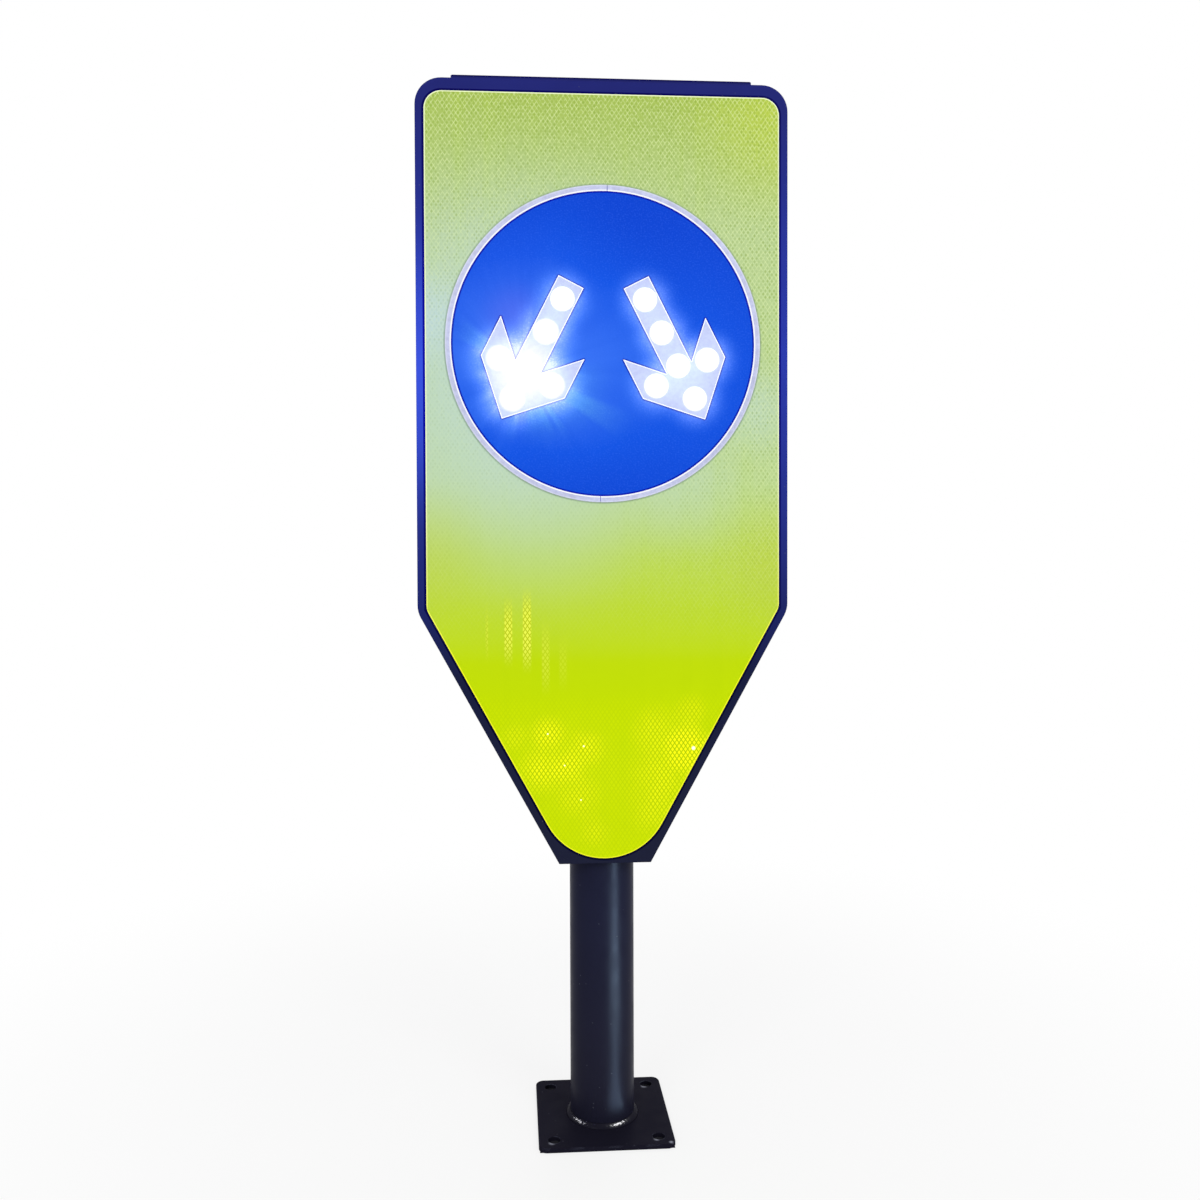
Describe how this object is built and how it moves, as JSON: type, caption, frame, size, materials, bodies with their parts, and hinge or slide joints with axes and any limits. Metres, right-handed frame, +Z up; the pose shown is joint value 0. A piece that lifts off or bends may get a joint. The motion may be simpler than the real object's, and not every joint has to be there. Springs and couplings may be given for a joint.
{
  "type": "solar led road sign",
  "caption": "Shield-shaped solar road sign on a post: blue disc with two LED-lit arrows on a reflective board, rear service hatch, solar strip on top, bolted base plate.",
  "frame": {"origin": "middle of the base plate's underside, on the post's axis", "axes": "+Z up along the post, +X to the right seen from the front, +Y from the lit face to the back"},
  "size_m": [0.354, 0.13, 1.0152],
  "materials": {
    "post_paint": "satin",
    "cabinet_paint": "satin",
    "reflective_film": "gloss",
    "blue_film": "gloss",
    "white_film": "gloss",
    "lens_plastic": "gloss",
    "seal_rubber": "matte",
    "cable_rubber": "satin",
    "screw_steel": "satin",
    "hinge_steel": "satin",
    "bare_aluminium": "satin",
    "black_plastic": "matte",
    "grey_plastic": "matte",
    "circuit_board": "satin",
    "board_parts": "satin",
    "emitter_phosphor": "gloss",
    "cell_can": "satin",
    "module_board": "matte",
    "solar_silicon": "gloss",
    "module_glass": "gloss",
    "lock_metal": "satin",
    "button_plastic": "gloss"
  },
  "bodies": {
    "post": {"base_plate": "post_paint", "post_tube": "post_paint", "base_weld": "post_paint", "post_cap": "black_plastic"},
    "head": {"front_panel": "cabinet_paint", "upper_rail": "cabinet_paint", "lower_rails": "cabinet_paint", "floor_rail": "cabinet_paint", "rear_cover": "cabinet_paint", "solar_frame": "cabinet_paint", "reflective_sheet": "reflective_film", "disc_film": "blue_film", "ring_film": "white_film", "arrow_films": "white_film", "led_lenses": "lens_plastic", "front_seal": "seal_rubber", "rear_gasket": "seal_rubber", "led_seals": "seal_rubber", "access_plugs": "seal_rubber", "roof_grommet": "seal_rubber", "led_harness": "cable_rubber", "solar_cable": "cable_rubber", "control_cables": "cable_rubber", "panel_studs": "screw_steel", "front_nuts": "screw_steel", "cover_screws": "screw_steel", "rivet_nuts": "screw_steel", "set_screws": "screw_steel", "equipment_screws": "screw_steel", "solar_screws": "screw_steel", "hinge_pins": "screw_steel", "hinge_leaves_cover": "hinge_steel", "battery_strap": "hinge_steel", "splice_plates": "bare_aluminium", "post_socket": "bare_aluminium", "socket_gussets": "bare_aluminium", "mounting_plate": "bare_aluminium", "led_nuts": "black_plastic", "led_caps": "black_plastic", "battery_holders": "black_plastic", "switch_body": "black_plastic", "switch_nut": "black_plastic", "controller_base": "grey_plastic", "controller_lid": "grey_plastic", "led_boards": "circuit_board", "controller_board": "circuit_board", "controller_components": "board_parts", "led_emitters": "emitter_phosphor", "battery_cells": "cell_can", "solar_backsheet": "module_board", "solar_cells": "solar_silicon", "solar_glass": "module_glass"},
    "hatch": {"hatch_door": "cabinet_paint", "hatch_gasket": "seal_rubber", "hinge_leaves_door": "hinge_steel", "lock_body": "lock_metal", "lock_nut": "lock_metal"},
    "lock": {"lock_plug": "lock_metal", "lock_cam": "lock_metal"},
    "button": {"switch_button": "button_plastic"}
  },
  "joints": [
    {"name": "head_swivel", "type": "hinge", "parent": "post", "child": "head", "pos_m": [0, 0, 0.266], "axis": [0, 0, 1], "continuous": true},
    {"name": "hatch_hinge", "type": "hinge", "parent": "head", "child": "hatch", "pos_m": [-0.113, 0.046, 0.552], "axis": [0, 0, 1], "range_deg": [0, 110]},
    {"name": "lock_turn", "type": "hinge", "parent": "hatch", "child": "lock", "pos_m": [0.076, 0.0465, 0.552], "axis": [0, -1, 0], "range_deg": [0, 90]},
    {"name": "button_press", "type": "slide", "parent": "head", "child": "button", "axis": [0, -1, 0], "range_m": [0, 0.0025], "stiffness_N_per_m": 800}
  ]
}
